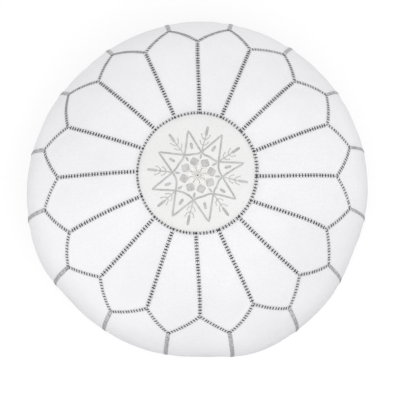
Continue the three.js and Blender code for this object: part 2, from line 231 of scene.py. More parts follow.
# ---- Meshes ----
def finish_object(name, verts, faces, look, nodes, body=COVER, uv=None, marks=None, weld=False):
    """A mesh object that rides on a body, with its look, which is a material and its slot (the slot
    is not used), and the CAD nodes it stands for, which are hidden."""
    mesh = bpy.data.meshes.new(name)
    mesh.from_pydata(verts.reshape(-1, 3).tolist(), [], faces)
    if uv is not None:
        corner = np.empty(len(mesh.loops), dtype=np.int32)
        mesh.loops.foreach_get("vertex_index", corner)
        layer = mesh.uv_layers.new(name="UVMap")
        layer.data.foreach_set("uv", uv.reshape(-1, 2)[corner].astype(np.float32).ravel())
    for mark, values in (marks or {}).items():
        attribute = mesh.attributes.new(mark, "FLOAT", "POINT")
        attribute.data.foreach_set("value", np.asarray(values, np.float32).ravel())
    if weld:
        work = bmesh.new()
        work.from_mesh(mesh)
        bmesh.ops.remove_doubles(work, verts=work.verts, dist=1e-6)
        work.to_mesh(mesh)
        work.free()
    mesh.polygons.foreach_set("use_smooth", np.ones(len(mesh.polygons), dtype=bool))
    mesh.materials.append(look[0])
    made = bpy.data.objects.new(name, mesh)
    bpy.context.scene.collection.objects.link(made)
    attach(made, body)
    if nodes:
        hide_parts(*nodes)
    return made


def grid_index(rows, columns, looped):
    index = np.arange(rows * columns).reshape(rows, columns)
    return np.concatenate([index, index[:, :1]], 1) if looped else index


def grid_faces(index):
    return np.stack([index[:-1, :-1], index[1:, :-1], index[1:, 1:], index[:-1, 1:]], -1).reshape(-1, 4)


def plate(name, outer, inner, look, nodes, looped=False, **more):
    """A closed plate: an outer grid, an inner grid, and the walls between their rims."""
    index = grid_index(*outer.shape[:2], looped)
    faces = grid_faces(index)
    rims = [index[0], index[-1][::-1]]
    if not looped:
        rims += [index[::-1, 0], index[:, -1]]
    deep = outer.shape[0] * outer.shape[1]
    walls = [np.stack([r[:-1], r[1:], r[1:] + deep, r[:-1] + deep], -1) for r in rims]
    faces = np.concatenate([faces, faces[:, ::-1] + deep, *walls]).tolist()
    return finish_object(name, np.stack([outer, inner]), faces, look, nodes, **more)


def tubes(centres, side, up, around=6, looped=False):
    """Closed tubes. All three arrays are tubes x stations x 3, with side x up along the tube.
    Returns vertices, faces and uv (u once round, v in metres along)."""
    count, stations = centres.shape[:2]
    angle = TURN * np.arange(around) / around
    ring = np.cos(angle)[:, None] * side[..., None, :] + np.sin(angle)[:, None] * up[..., None, :]
    verts = centres[..., None, :] + ring
    index = np.arange(count * stations * around).reshape(count, stations, around)
    index = np.concatenate([index, index[..., :1]], 2)
    if looped:
        index = np.concatenate([index, index[:, :1]], 1)
    corners = [index[:, :-1, :-1], index[:, :-1, 1:], index[:, 1:, 1:], index[:, 1:, :-1]]
    faces = np.stack(corners, -1).reshape(-1, 4).tolist()
    if not looped:
        faces += index[:, 0, -2::-1].tolist() + index[:, -1, :-1].tolist()
    around_share = np.broadcast_to(np.arange(around) / around, verts.shape[:-1])
    along = np.broadcast_to(lengths_along(centres, 1)[0][..., None], verts.shape[:-1])
    return verts.reshape(-1, 3), faces, np.stack([around_share, along], -1).reshape(-1, 2)


def tube(centres, side, up, around=6, looped=False):
    return tubes(centres[None], side[None], up[None], around, looped)


def stitched(name, meshes, look, nodes=(), marks=None, body=COVER):
    """One object out of several (vertices, faces, uv)."""
    verts, faces, uvs, start = [], [], [], 0
    for v, f, uv in meshes:
        verts.append(v)
        faces += [[i + start for i in face] for face in f]
        uvs.append(uv)
        start += len(v)
    verts = np.concatenate(verts)
    found = marks and marks(verts)
    return finish_object(name, verts, faces, look, nodes, body, np.concatenate(uvs), found)


# ---- Finishes ----
def shades(colour, share):
    return tuple(share * channel for channel in colour)


class Finish:
    """Builds one material's nodes with short calls."""

    def __init__(self, name, **sockets):
        self.material = bpy.data.materials.new(name)
        self.material.use_nodes = True
        self.tree = self.material.node_tree
        self.shader = self.tree.nodes["Principled BSDF"]
        for socket, value in sockets.items():
            self.shader.inputs[socket.replace("_", " ")].default_value = value
        coordinates = self.tree.nodes.new("ShaderNodeTexCoord").outputs
        self.place, self.uv = coordinates["Object"], coordinates["UV"]

    def add(self, kind, output, inputs, **settings):
        node = self.tree.nodes.new(kind)
        for key, value in settings.items():
            setattr(node, key, value)
        for key, value in inputs.items():
            if isinstance(value, bpy.types.NodeSocket):
                self.tree.links.new(value, node.inputs[key])
            else:
                node.inputs[key].default_value = value
        return node.outputs[output]

    def link(self, value, socket):
        self.tree.links.new(value, self.shader.inputs[socket])

    def noise(self, size, detail=3, rough=0.55, where=None):
        inputs = {"Vector": where or self.place, "Scale": 1 / size, "Detail": detail}
        return self.add("ShaderNodeTexNoise", "Fac", {**inputs, "Roughness": rough})

    def cells(self, size):
        """Distances in a pattern of cells whose walls are a little bent."""
        colour = self.add("ShaderNodeTexNoise", "Color", {"Vector": self.place, "Scale": 0.4 / size})
        vector = ("ShaderNodeVectorMath", "Vector")
        bent = self.add(*vector, {0: colour, "Scale": 0.5 * size}, operation="SCALE")
        place = self.add(*vector, {0: self.place, 1: bent}, operation="ADD")
        return self.add("ShaderNodeTexVoronoi", "Distance", {"Vector": place, "Scale": 1 / size})

    def strands(self, round_count, per_metre, direction):
        """Bands across a thread: so many round it, and so many in a metre of it."""
        cycle = TURN / (10 if direction == "DIAGONAL" else 20)
        scale = (round_count * cycle, per_metre * cycle, cycle)
        mapped = self.add("ShaderNodeMapping", "Vector", {"Vector": self.uv, "Scale": scale})
        inputs = {"Vector": mapped, "Scale": 1.0, "Distortion": 0.6, "Detail": 1.0, "Detail Scale": 0.7}
        return self.add("ShaderNodeTexWave", "Fac", inputs, bands_direction=direction)

    def attribute(self, name):
        return self.add("ShaderNodeAttribute", "Fac", {}, attribute_name=name)

    def math(self, operation, a, b):
        return self.add("ShaderNodeMath", "Value", {0: a, 1: b}, operation=operation)

    def ramp(self, factor, *stops):
        """Colours (or greys) at places from 0 to 1."""
        node = self.tree.nodes.new("ShaderNodeValToRGB")
        self.tree.links.new(factor, node.inputs["Fac"])
        for element, (place, colour) in zip(node.color_ramp.elements, stops):
            element.position = place
            element.color = (*colour, 1) if isinstance(colour, tuple) else (colour,) * 3 + (1,)
        return node.outputs["Color"]

    def blend(self, factor, a, b):
        inputs = {0: factor, 6: a, 7: b}
        inputs = {key: (*v, 1) if isinstance(v, tuple) else v for key, v in inputs.items()}
        return self.add("ShaderNodeMix", 2, inputs, data_type="RGBA")

    def patches(self, tone, colour, factor, low, high, strength):
        """A colour that comes in as the factor goes from low to high."""
        return self.blend(self.ramp(factor, (low, 0.0), (high, strength)), tone, colour)

    def made(self, tone, slot):
        """The finished material, and the name of its slot."""
        self.link(tone, "Base Color")
        return self.material, slot

    def roughness(self, factor, low, high):
        inputs = {"Value": factor, "To Min": low, "To Max": high}
        self.link(self.add("ShaderNodeMapRange", "Result", inputs), "Roughness")

    def bumps(self, *layers):
        """Bump layers, each (height socket, depth in metres)."""
        normal = None
        for height, depth in layers:
            inputs = {"Height": height, "Distance": depth, "Strength": 1.0}
            if normal:
                inputs["Normal"] = normal
            normal = self.add("ShaderNodeBump", "Normal", inputs)
        self.link(normal, "Normal")


def leather_finish(name, light, shade):
    """Soft white sheepskin: fine pebble, open pores and faint mottling. Painted shade makes it greyer
    along its seams and towards the floor, where it also lies in fine level creases, bumped and darkened
    by painted shade."""
    f = Finish(name, Specular_IOR_Level=0.4, Sheen_Weight=0.08, Sheen_Roughness=0.5)
    pebble = f.cells(0.0021)
    pores = f.noise(0.0007, detail=2)
    folds = f.noise(0.016, detail=5, rough=0.6)
    tone = f.ramp(f.noise(0.11, detail=2), (0.35, shade), (0.62, light))
    tone = f.patches(tone, shade, f.noise(0.013, detail=4), 0.42, 0.75, 0.16)
    tone = f.patches(tone, shades(shade, 0.86), pebble, 0.35, 0.9, 0.22)
    # painted shade along the seams, made patchy by noise
    seam_shade = f.math("MULTIPLY", f.attribute("seam"), f.noise(0.03, detail=3))
    tone = f.blend(f.math("MULTIPLY", seam_shade, 0.35), tone, shades(shade, 0.62))
    # painted shade towards the floor, slightly bluish
    rubbed = f.attribute("rubbed")
    tone = f.blend(rubbed, tone, (*shades(shade[:2], 0.76), 0.78 * shade[2]))
    # level creases near the floor: real bumps, and their darkening is painted shade
    level = f.add("ShaderNodeMapping", "Vector", {"Vector": f.place, "Scale": (1, 1, 6)})
    lines = f.ramp(f.noise(0.06, detail=5, rough=0.5, where=level), (0.47, 0.0), (0.65, 1.0))
    creases = f.math("MULTIPLY", lines, rubbed)
    tone = f.blend(f.math("MULTIPLY", creases, 0.4), tone, shades(shade, 0.75))
    f.roughness(f.noise(0.02, detail=4), 0.44, 0.6)
    f.bumps((folds, 0.0012), (creases, 0.0008), (pebble, 0.00026), (pores, 0.00009))
    return f.made(tone, name)


def thread_finish(name, light, dark, lay, shine, slot="seam_thread", rubs=False, satin=False):
    """Thread of twisted or laid strands, darker between them, with uneven dye. Where asked it gets
    random dark patches and painted shade towards the floor, and satin stitches are worn in places."""
    f = Finish(name, Specular_IOR_Level=0.35, Sheen_Weight=0.2, Sheen_Roughness=0.4)
    strands = f.strands(*lay)
    tone = f.ramp(strands, (0.12, dark), (0.6, light))
    tone = f.patches(tone, shades(light, 0.75), f.noise(0.006), 0.35, 0.7, 0.4)
    if satin:
        tone = f.patches(tone, shades(light, 0.55), f.noise(0.0028, rough=0.7), 0.5, 0.68, 0.85)
        tone = f.patches(tone, shades(light, 1.14), f.noise(0.014, detail=1), 0.38, 0.62, 0.5)
    if rubs:
        tone = f.patches(tone, dark, f.noise(0.0045, detail=2), 0.42, 0.6, 0.6)
        # painted shade towards the floor
        tone = f.blend(f.math("MULTIPLY", f.attribute("rubbed"), 0.8), tone, dark)
    f.roughness(f.noise(0.004), shine, min(1, shine + 0.25))
    f.bumps((strands, 0.00012), (f.noise(0.0005), 0.00004))
    return f.made(tone, slot)


def woven_finish(name, light, dark, threads, sheen):
    """Plain weave from object coordinates, with slubs and uneven colour."""
    f = Finish(name, Roughness=0.9, Specular_IOR_Level=0.2, Sheen_Weight=sheen, Sheen_Roughness=0.6)
    waves = []
    for axis in ("X", "Y", "Z"):
        inputs = {"Vector": f.place, "Scale": threads * TURN / 20, "Distortion": 1.2}
        inputs["Detail Scale"] = 2.0
        waves.append(f.add("ShaderNodeTexWave", "Fac", inputs, bands_direction=axis))
    weave = f.math("MULTIPLY", f.math("ADD", waves[0], waves[1]), f.math("ADD", waves[2], 0.5))
    slubs = f.noise(0.004, detail=4)
    tone = f.ramp(weave, (0.2, dark), (1.0, light))
    f.roughness(slubs, 0.8, 1.0)
    f.bumps((weave, 0.00025), (slubs, 0.0003))
    return f.made(f.patches(tone, shades(light, 0.8), slubs, 0.4, 0.75, 0.35), name)


def nylon_finish():
    f = Finish("nylon", Subsurface_Weight=0.1, Specular_IOR_Level=0.5)
    f.roughness(f.noise(0.002), 0.32, 0.5)
    f.bumps((f.noise(0.0006), 0.00003))
    tone = f.ramp(f.noise(0.012), (0.3, (0.66, 0.65, 0.64)), (0.7, (0.75, 0.74, 0.73)))
    return f.made(tone, "nylon")


def nickel_finish():
    """Plated metal, polished by use on its high spots and dull in between."""
    f = Finish("nickel", Metallic=1.0)
    dull = f.noise(0.003, detail=5, rough=0.65)
    f.roughness(dull, 0.5, 0.22)
    f.bumps((dull, 0.00008), (f.noise(0.0003, detail=2), 0.00002))
    return f.made(f.ramp(dull, (0.3, (0.50, 0.49, 0.48)), (0.7, (0.72, 0.71, 0.70))), "nickel")


def fibre_finish():
    f = Finish("fibre", Roughness=0.95, Specular_IOR_Level=0.1, Sheen_Weight=0.4)
    tufts = f.noise(0.008, detail=8, rough=0.75)
    f.roughness(tufts, 0.85, 1.0)
    f.bumps((tufts, 0.004), (f.noise(0.0012, detail=4), 0.0006))
    return f.made(f.ramp(tufts, (0.35, (0.74, 0.73, 0.70)), (0.65, (0.86, 0.85, 0.82))), "fibre")


WHITE_LEATHER = leather_finish("white_leather", (0.84, 0.83, 0.845), (0.80, 0.79, 0.81))
MEDALLION_LEATHER = leather_finish("medallion_leather", (0.79, 0.795, 0.788), (0.76, 0.762, 0.756))
# How a thread's strands lie: bands round it, bands in a metre of it, and their direction.
TWISTED, LOOSE, FINE = (3, 500, "DIAGONAL"), (2, 420, "DIAGONAL"), (3, 700, "DIAGONAL")
WOUND, LAID = (0, 1 / WRAPPED_PITCH, "Y"), (0, 1 / (0.6 * MM), "Y")
SATIN = {"slot": "silver_thread", "satin": True}
THREADS = {  # light colour, dark colour, lay, shine, and what else differs
    "ladder": ((0.048, 0.048, 0.054), (0.016, 0.016, 0.02), TWISTED, 0.5, {}),
    "grey": ((0.09, 0.09, 0.098), (0.03, 0.03, 0.035), TWISTED, 0.5, {}),
    "edge": ((0.64, 0.64, 0.65), (0.42, 0.42, 0.43), LOOSE, 0.6, {}),
    "wrapped": ((0.74, 0.74, 0.75), (0.13, 0.13, 0.14), WOUND, 0.45, {"rubs": True}),
    "silver": ((0.58, 0.58, 0.575), (0.34, 0.34, 0.34), LAID, 0.4, SATIN),
    "pale": ((0.63, 0.617, 0.612), (0.46, 0.446, 0.44), LAID, 0.4, SATIN),
    "cream": ((0.93, 0.915, 0.89), (0.80, 0.785, 0.76), LAID, 0.45, {"slot": "silver_thread"}),
    "vein": ((0.50, 0.50, 0.49), (0.32, 0.32, 0.31), LAID, 0.4, {"slot": "silver_thread"}),
    "white": ((0.74, 0.73, 0.72), (0.45, 0.44, 0.43), FINE, 0.5, {}),
}
THREAD = {name: thread_finish(f"{name}_thread", *how[:4], **how[4]) for name, how in THREADS.items()}
ZIP_TAPE = woven_finish("zip_tape", (0.78, 0.77, 0.76), (0.52, 0.51, 0.50), 1 / (0.8 * MM), 0.15)
COTTON = woven_finish("cotton", (0.78, 0.74, 0.66), (0.58, 0.54, 0.47), 1 / (1.1 * MM), 0.25)
NYLON = nylon_finish()
NICKEL = nickel_finish()
FIBRE = fibre_finish()


# ---- The leather, blown out against its seams ----
CELLS = 10  # columns of the cloth in a sector; a seam stands on every fifth
CLOTH_FRAMES = 20
CLOTH = {
    "vertex_group_mass": "seams",
    "quality": 6,
    "mass": 0.3,
    "tension_stiffness": 60,
    "compression_stiffness": 60,
    "shear_stiffness": 30,
    "bending_stiffness": 4,
    "air_damping": 6,
    "use_pressure": True,
    "uniform_pressure_force": 4,
    "shrink_min": -0.006,
}
# Each zone's place on the cover with its rows of cloth, and how far in and out its leather may stand.
ZONES = {"medallion": (medallion_place, 9), "petal": (petal_place, 14), "side": (side_place, 28)}
LIFT_RANGE = {"medallion": (-0.001, 0.0012), "petal": (-0.0018, 0.0012), "side": (-0.002, 0.0012)}


def cloth_rows():
    """The skin as one grid of rows, and which of its points the seams hold."""
    column = np.arange(SECTORS * CELLS)
    on_radial, on_side = column % CELLS == 0, column % CELLS == CELLS // 2
    seams = {"medallion": column < 0, "petal": on_radial, "side": on_side}
    rows, held = [], []
    for zone, (place, steps) in ZONES.items():
        for step in range(1, steps + 1):
            rows.append(place(column / CELLS, step / steps))
            held.append(seams[zone] | (step == steps))
    phi, u = np.array(rows).swapaxes(0, 1)
    return phi, u, np.array(held)


def inflate(start, held):
    """Cloth under pressure from inside, held at the seams: where its points come to rest."""
    rows, columns = held.shape
    crown, foot = start[0].mean(0) + [0, 0, 0.0005], [0, 0, start[-1, 0, 2]]
    verts = np.concatenate([start.reshape(-1, 3), [crown, foot]])
    crown_vertex, foot_vertex = rows * columns, rows * columns + 1
    index = grid_index(rows, columns, looped=True)
    faces = grid_faces(index).tolist()
    faces += [[crown_vertex, a, b] for a, b in zip(index[0, :-1].tolist(), index[0, 1:].tolist())]
    faces += [[foot_vertex, b, a] for a, b in zip(index[-1, :-1].tolist(), index[-1, 1:].tolist())]
    mesh = bpy.data.meshes.new("cloth")
    mesh.from_pydata(verts.tolist(), [], faces)
    cloth = bpy.data.objects.new("cloth", mesh)
    scene = bpy.context.scene
    scene.collection.objects.link(cloth)
    pins = cloth.vertex_groups.new(name="seams")
    pins.add(np.flatnonzero(held.ravel()).tolist() + [foot_vertex], 1.0, "REPLACE")
    settings = cloth.modifiers.new("Cloth", "CLOTH").settings
    for setting, value in CLOTH.items():
        setattr(settings, setting, value)
    settings.effector_weights.gravity = 0
    for step in range(1, CLOTH_FRAMES + 1):
        scene.frame_set(step)
    blown = cloth.evaluated_get(bpy.context.evaluated_depsgraph_get()).to_mesh()
    ends = np.empty(len(blown.vertices) * 3)
    blown.vertices.foreach_get("co", ends)
    scene.frame_set(1)
    bpy.data.objects.remove(cloth)
    bpy.data.meshes.remove(mesh)
    return ends.reshape(-1, 3)[: rows * columns].reshape(rows, columns, 3)


def relief():
    """How far the leather stands over the skin, for each zone a grid of rows and columns."""
    phi, u, held = cloth_rows()
    points, normals = skin(phi, u)
    slack = -0.0012 + 0.0004 * wobble(points, 0.03)
    start = points + normals * np.where(held, SEAM_RISE, slack)[..., None]
    lift = ((inflate(start, held) - points) * normals).sum(-1)
    for _ in range(2):
        beside = (np.roll(lift, 1, 1) + np.roll(lift, -1, 1)) / 2
        rows = np.pad(lift, ((1, 1), (0, 0)), "edge")
        lift = np.where(held, lift, (2 * lift + beside + (rows[:-2] + rows[2:]) / 2) / 4)
    grids, first = {}, 0
    for zone, (_, steps) in ZONES.items():
        low, high = LIFT_RANGE[zone]
        above = lift[first - 1] if first else np.full(lift.shape[1], lift[0].mean())
        grid = np.vstack([above, lift[first : first + steps]])
        grids[zone] = np.where(grid > 0, high * np.tanh(grid / high), low * np.tanh(grid / low))
        first += steps
    return grids


LIFT = relief()


def cubic_taps(f):
    """Which of four evenly spaced values a smooth cubic reads at f past the second, with weights."""
    yield -1, (-f + 2 * f**2 - f**3) / 2
    yield 0, (2 - 5 * f**2 + 3 * f**3) / 2
    yield 1, (f + 4 * f**2 - 3 * f**3) / 2
    yield 2, (f**3 - f**2) / 2


def stand(zone, turn, down, points):
    """How far the leather stands over the skin away from its seams: blown out, and a little lumpy."""
    grid = LIFT[zone]
    turn, down = np.broadcast_arrays(turn, down)
    x, y = turn * CELLS, down * (len(grid) - 1)
    i, j = np.floor(x).astype(int), np.floor(y).astype(int)
    height = 0.0007 * wobble(points, 0.055) + 0.00022 * wobble(points, 0.02, 1)
    for step, weight in cubic_taps(y - j):
        row = np.clip(j + step, 0, len(grid) - 1)
        for shift, share in cubic_taps(x - i):
            height = height + weight * share * grid[row, (i + shift) % grid.shape[1]]
    return height


def rest_on_floor(points, clearance=0.00015):
    """The weight presses whatever would reach the floor flat against it."""
    flat = points.copy()
    flat[..., 2] = np.maximum(flat[..., 2], clearance)
    return flat


def cut_size(points):
    """A panel's flat width, length and area, along its outer grid."""
    width = lengths_along(points, 1)[0][:, -1].max()
    length = lengths_along(points, 0)[0][-1].max()
    diagonals = np.cross(points[1:, 1:] - points[:-1, :-1], points[1:, :-1] - points[:-1, 1:])
    return (width, length), float(np.linalg.norm(diagonals, axis=-1).sum() / 2)


def turned_in(distance):
    """How far an edge has dropped, at a distance from its seam: a quarter round."""
    t = np.clip(distance / EDGE_ROLL, 0, 1)
    return EDGE_DROP * (1 - np.sqrt(1 - (1 - t) ** 2))


SEAM_SHADE_RANGE = (0.001, 0.008)  # distances from a seam between which the painted shade beside it fades out on the leather
LEATHER_SHADE_HEIGHTS, THREAD_SHADE_HEIGHTS = (0.13, 0.265), (0.15, 0.26)  # heights between which the painted shade towards the floor fades out, on leather and on thread
FREE_FROM, FREE_AT = 0.003, 0.01  # how far from a seam the leather starts to be free of it, and is
PUCKER, PUCKER_DEPTH = 0.0078, 0.00014  # from one gather beside a seam to the next, and their height
PUCKER_AT, PUCKER_REACH = 0.004, 0.0025  # how far from the seam they are strongest, and how wide
ZIGZAG_SLANT = 0.87  # the distance to a slanting end, as a share of the way there
PETAL_SIZE, SIDE_SIZE = (0.05, 0.125), (0.085, 0.28)  # roughly, to space their grids


def leather_height(zone, turn, down, points, distance):
    """How far a panel's outer face stands over the skin, at distances from its nearest seam."""
    free = smoothstep(distance, FREE_FROM, FREE_AT)
    return mix(SEAM_RISE, stand(zone, turn, down, points), free) - turned_in(distance)


def leather(name, outer, outward, distance, node, flat=None, area=None, look=WHITE_LEATHER, **more):
    """A piece of leather stretched over the bag, marked for painted shade beside its seams and
    towards the floor. Its cut size is measured where it isn't given."""
    # masks for painted shade: beside the seams, and towards the floor
    seam_shade = 1 - smoothstep(distance, *SEAM_SHADE_RANGE)
    rubs = 1 - smoothstep(outer[..., 2], *LEATHER_SHADE_HEIGHTS)
    marks = {"seam": np.tile(seam_shade.ravel(), 2), "rubbed": np.tile(rubs.ravel(), 2)}
    made = plate(name, outer, outer - outward * LEATHER_THICK, look, [node], marks=marks, **more)
    measured, measured_area = cut_size(outer)
    flat, area = flat or measured, area or measured_area


def panel(name, zone, start, size, node):
    """One piece of leather between its seams, its edges turned in under the stitching."""
    turn = start + spaced(size[0], 0.0026)[None, :]
    down = spaced(size[1], 0.003)[:, None]
    points, normals = skin(*ZONES[zone][0](turn, down))
    run_across, rest_across = lengths_along(points, 1)
    run_down, rest_down = lengths_along(points, 0)
    beside = np.minimum(run_across, rest_across)
    ends = ZIGZAG_SLANT * np.minimum(run_down, rest_down)
    distance = np.minimum(beside, ends)
    height = leather_height(zone, turn, down, points, distance)
    for gap, run in ((beside, run_down), (ends, run_across)):
        near = np.exp(-(((gap - PUCKER_AT) / PUCKER_REACH) ** 2))
        height += PUCKER_DEPTH * near * np.cos(TURN * run / PUCKER)
    leather(name, rest_on_floor(points + normals * height[..., None]), normals, distance, node)


for k in range(SECTORS):
    panel(f"petal_leather_{k + 1:02}", "petal", k, PETAL_SIZE, f"petal_{k + 1:02}")
    panel(f"side_leather_{k + 1:02}", "side", k - 0.5, SIDE_SIZE, f"side_panel_{k + 1:02}")


def medallion():
    turn = np.arange(SECTORS * 16)[None, :] / 16
    down = np.concatenate([[0, 0.02], spaced(MEDALLION_R, 0.0028)[5:]])[:, None]
    points, normals = skin(*medallion_place(turn, down))
    distance = lengths_along(points, 0)[1]
    height = leather_height("medallion", turn, down, points, distance)
    height[0], normals[0] = height[0].mean(), normals[0].mean(0)
    outer = points + normals * height[..., None]
    flat, area = (2 * MEDALLION_R, 2 * MEDALLION_R), math.pi * MEDALLION_R**2
    more = {"look": MEDALLION_LEATHER, "looped": True, "weld": True}
    leather("medallion_disc", outer, normals, distance, "medallion", flat, area, **more)


medallion()


# ---- Stitching ----
random = np.random.default_rng(16)
RUNG_R, RADIAL_RUNG_R, EDGE_R, KNOT_R, STITCH_R = 0.00038, 0.0004, 0.00023, 0.00042, 0.00033
EDGE_WAVE = 0.0039  # the edge threads wander this often
SIGHT = 0.0012  # how far ahead and behind a seam's direction is taken


def read_along(values, run, place):
    """Vectors given at distances along a line, read at other places on it."""
    return np.stack([np.interp(place, run, values[:, i]) for i in range(3)], -1)


def direction(lines, looped=False):
    if looped:
        return unit(np.roll(lines, -1, -2) - np.roll(lines, 1, -2))
    return unit(np.gradient(lines, axis=-2))


def cords(centres, up, radius, around=6, looped=False):
    """Round tubes along lines, tubes x stations x 3."""
    along = direction(centres, looped)
    side = unit(np.cross(along, up))
    return tubes(centres, radius * side, radius * unit(np.cross(side, along)), around, looped)


class Seam:
    """A seam line on the cover, with its direction and the skin's normal all along."""

    def __init__(self, zone, turn, down, looped=False):
        points, normals = skin(*ZONES[zone][0](turn, down))
        if looped:
            points = np.concatenate([points, points[:1]])
            normals = np.concatenate([normals, normals[:1]])
        self.points, self.normals, self.looped = points, normals, looped
        self.run = lengths_along(points, 0)[0]
        self.length = self.run[-1]

    def read(self, values, place):
        return read_along(values, self.run, place % self.length if self.looped else place)

    def at(self, place):
        """Points, directions along and across, and normals at distances along the seam."""
        up = unit(self.read(self.normals, place))
        along = unit(self.read(self.points, place + SIGHT) - self.read(self.points, place - SIGHT))
        return self.read(self.points, place), along, unit(np.cross(up, along)), up


def rungs(seam, pitch, width, clear=(0, 0), looser=0.0, swell=0.0, radius=RUNG_R):
    """The rungs of a ladder stitch: two threads side by side whose ends dive into the leather.
    They stand closer than the pitch at the start and wider at the end by the share looser."""
    span = seam.length - sum(clear)
    count = int(span / pitch)
    share = (np.arange(count) + 0.5 + random.uniform(-0.1, 0.1, count)) / count
    place = clear[0] + span * share * (1 - looser * (1 - share))
    points, along, across, up = (values[:, None] for values in seam.at(place))
    skew = random.uniform(-0.05, 0.05, count)[:, None, None]
    reach = width * (1 + swell * np.cos(TURN * share)) * random.uniform(0.47, 0.53, count)
    reach = reach[:, None, None]
    t = np.linspace(-1, 1, 9)[None, :, None]
    height = SEAM_RISE + 0.0004 - 0.0011 * np.abs(t) ** 5
    made = []
    for thread in (-1, 1):
        lie = thread * 0.95 * radius + reach * t * skew
        centres = points + across * reach * t + along * lie + up * height
        made.append(cords(centres, up, radius, around=7))
    return made


def edge_threads(seam, width, clear=(0, 0), swell=0.0):
    """The thread that runs along both sides of a ladder."""
    stations = int(seam.length / 0.0018)
    place = np.linspace(clear[0], seam.length - clear[1], stations, endpoint=not seam.looped)
    points, along, across, up = seam.at(place)
    swollen = width * (1 + swell * np.cos(TURN * place / seam.length))
    wave = TURN * place / EDGE_WAVE
    height = SEAM_RISE + 0.00012 + 0.00008 * np.sin(wave + 1)
    made = []
    for side in (-1, 1):
        wander = side * swollen / 2 + 0.0001 * np.sin(wave)
        centres = points + across * wander[:, None] + up * height[:, None]
        made.append(tube(centres, EDGE_R * across, EDGE_R * up, 6, seam.looped))
    return made


def knot_on(seam, place, size):
    """A small tied knot on a seam: one thread over and under itself."""
    point, along, across, up = (values[0] for values in seam.at(np.array([place])))
    t = np.linspace(0, TURN, 36, endpoint=False)[:, None]
    x, y = np.sin(t) + 2 * np.sin(2 * t), np.cos(t) - 2 * np.cos(2 * t)
    z = SEAM_RISE + 0.0004 - 0.0003 * np.sin(3 * t)
    centres = point + size / 2.2 * (x * along + y * across) + z * up
    return cords(centres[None], up, KNOT_R, 7, looped=True)


line_steps, round_steps = np.linspace(0, 1, 200), np.arange(SECTORS * 48) / 48
RADIALS = [Seam("petal", k, line_steps) for k in range(SECTORS)]
SIDES = [Seam("side", k + 0.5, line_steps) for k in range(SECTORS)]
RING = Seam("medallion", round_steps, 1, looped=True)
ZIGZAG = Seam("petal", round_steps, 1, looped=True)
RADIAL_CLEAR = (RING_W / 2 + 0.001, ZIGZAG_W / 2 + 0.001)
RADIAL_LAY = {"clear": RADIAL_CLEAR, "looser": 0.09, "radius": RADIAL_RUNG_R}

meshes = [mesh for seam in RADIALS for mesh in rungs(seam, LADDER_PITCH, LADDER_W, **RADIAL_LAY)]
stitched("petal_ladders", meshes, THREAD["ladder"], ["cover_seams"])
meshes = rungs(ZIGZAG, LADDER_PITCH, ZIGZAG_W)
stitched("zigzag_ladder", meshes, THREAD["grey"], ["cover_seams"])
meshes = rungs(RING, RING_PITCH, RING_W, swell=RING_SWELL)
stitched("medallion_ladder", meshes, THREAD["grey"], ["medallion_seam"])
meshes = [mesh for seam in RADIALS for mesh in edge_threads(seam, LADDER_W, RADIAL_CLEAR)]
meshes += edge_threads(ZIGZAG, ZIGZAG_W) + edge_threads(RING, RING_W, swell=RING_SWELL)
stitched("ladder_edges", meshes, THREAD["edge"])
meshes = [knot_on(seam, 0.0, 0.0009) for seam in RADIALS]
stitched("medallion_knots", meshes, THREAD["grey"])
meshes = [knot_on(seam, seam.length, 0.0008) for seam in RADIALS]
meshes += [knot_on(seam, 0.0, 0.0008) for seam in SIDES]
stitched("zigzag_knots", meshes, THREAD["edge"])


def wrapped_band(seam):
    """Thread wound closely over a side seam: a low rounded band, ribbed by its turns."""
    turns = int(seam.length / WRAPPED_PITCH)
    place = np.linspace(0.0008, seam.length, 4 * turns + 1)
    points, along, across, up = seam.at(place)
    rib = np.abs(np.sin(math.pi * np.arange(len(place)) / 4))
    facing_x = np.clip(points[:, 0] / np.hypot(points[:, 0], points[:, 1]), 0, 1)
    width = WRAPPED_W / 2 * (1 + 0.02 * random.uniform(-1, 1, len(place)) + 0.03 * rib)
    width = width * (1 - WRAPPED_SLIMMER * facing_x**2)
    thick = 0.0007 + 0.00013 * rib
    centres = points + up * (SEAM_RISE - 0.00025)
    verts, faces, uv = tube(centres, across * width[:, None], up * thick[:, None], 12)
    uv[:, 1] *= turns * WRAPPED_PITCH / uv[:, 1].max()  # so that the look's turns match the ribs
    return rest_on_floor(verts, 0.0001), faces, uv


# the mask for painted shade towards the floor
def rubbed(points):
    return {"rubbed": 1 - smoothstep(points[..., 2], *THREAD_SHADE_HEIGHTS)}


# the side bands are darker towards the floor: painted shade
bands = [wrapped_band(seam) for seam in SIDES]
stitched("side_bands", bands, THREAD["wrapped"], ["cover_seams"], marks=rubbed)


# ---- The medallion's embroidery ----
R = MEDALLION_R
STAR_TIP, STAR_CROSSING, STAR_BOW = 0.776 * R, 0.412 * R, 0.36 * R
TIP_TURN, CROSSING_TURN = math.radians(13.9), math.radians(36.4)
EIGHTH = math.radians(45)
EMBROIDERY_CENTRE = np.array([0.0004, -0.0045])  # it was drawn a little off the middle
# Hand drawing: degrees that the star's tips, its crossings and the sprigs' buds are swung round,
# and how far out tips and crossings lie as shares of their usual radii.
TIP_SWING = [1.5, 0.5, -2, 0, 3, -0.5, -0.5, -1]
TIP_REACH = [1.02, 1.02, 0.99, 0.97, 1.01, 1.02, 1.02, 0.95]
CROSSING_SWING = [-3, -0.5, -3.5, 2, -1, -1, 3.5, 5]
CROSSING_REACH = [1, 0.96, 0.98, 1.01, 1.07, 1.01, 0.97, 0.98]
BUD_SWING = [-2.5, -3, -2, 1.5, 1.5, -3, 1, 1]
STRAND_W, LEAF_W, DASH_W, STEM_W, BUD_W, TWIG_W, BERRY_W = (
    0.0025, 0.0038, 0.003, 0.0013, 0.0036, 0.0011, 0.0021
)
TWIGS = ((0.38, 0.085, 0.85), (0.72, 0.1, 0.75))  # place on the stem, reach as share of R, spread
LOZENGE_AT, LOZENGE_SIZE = 0.232 * R, 0.077 * R


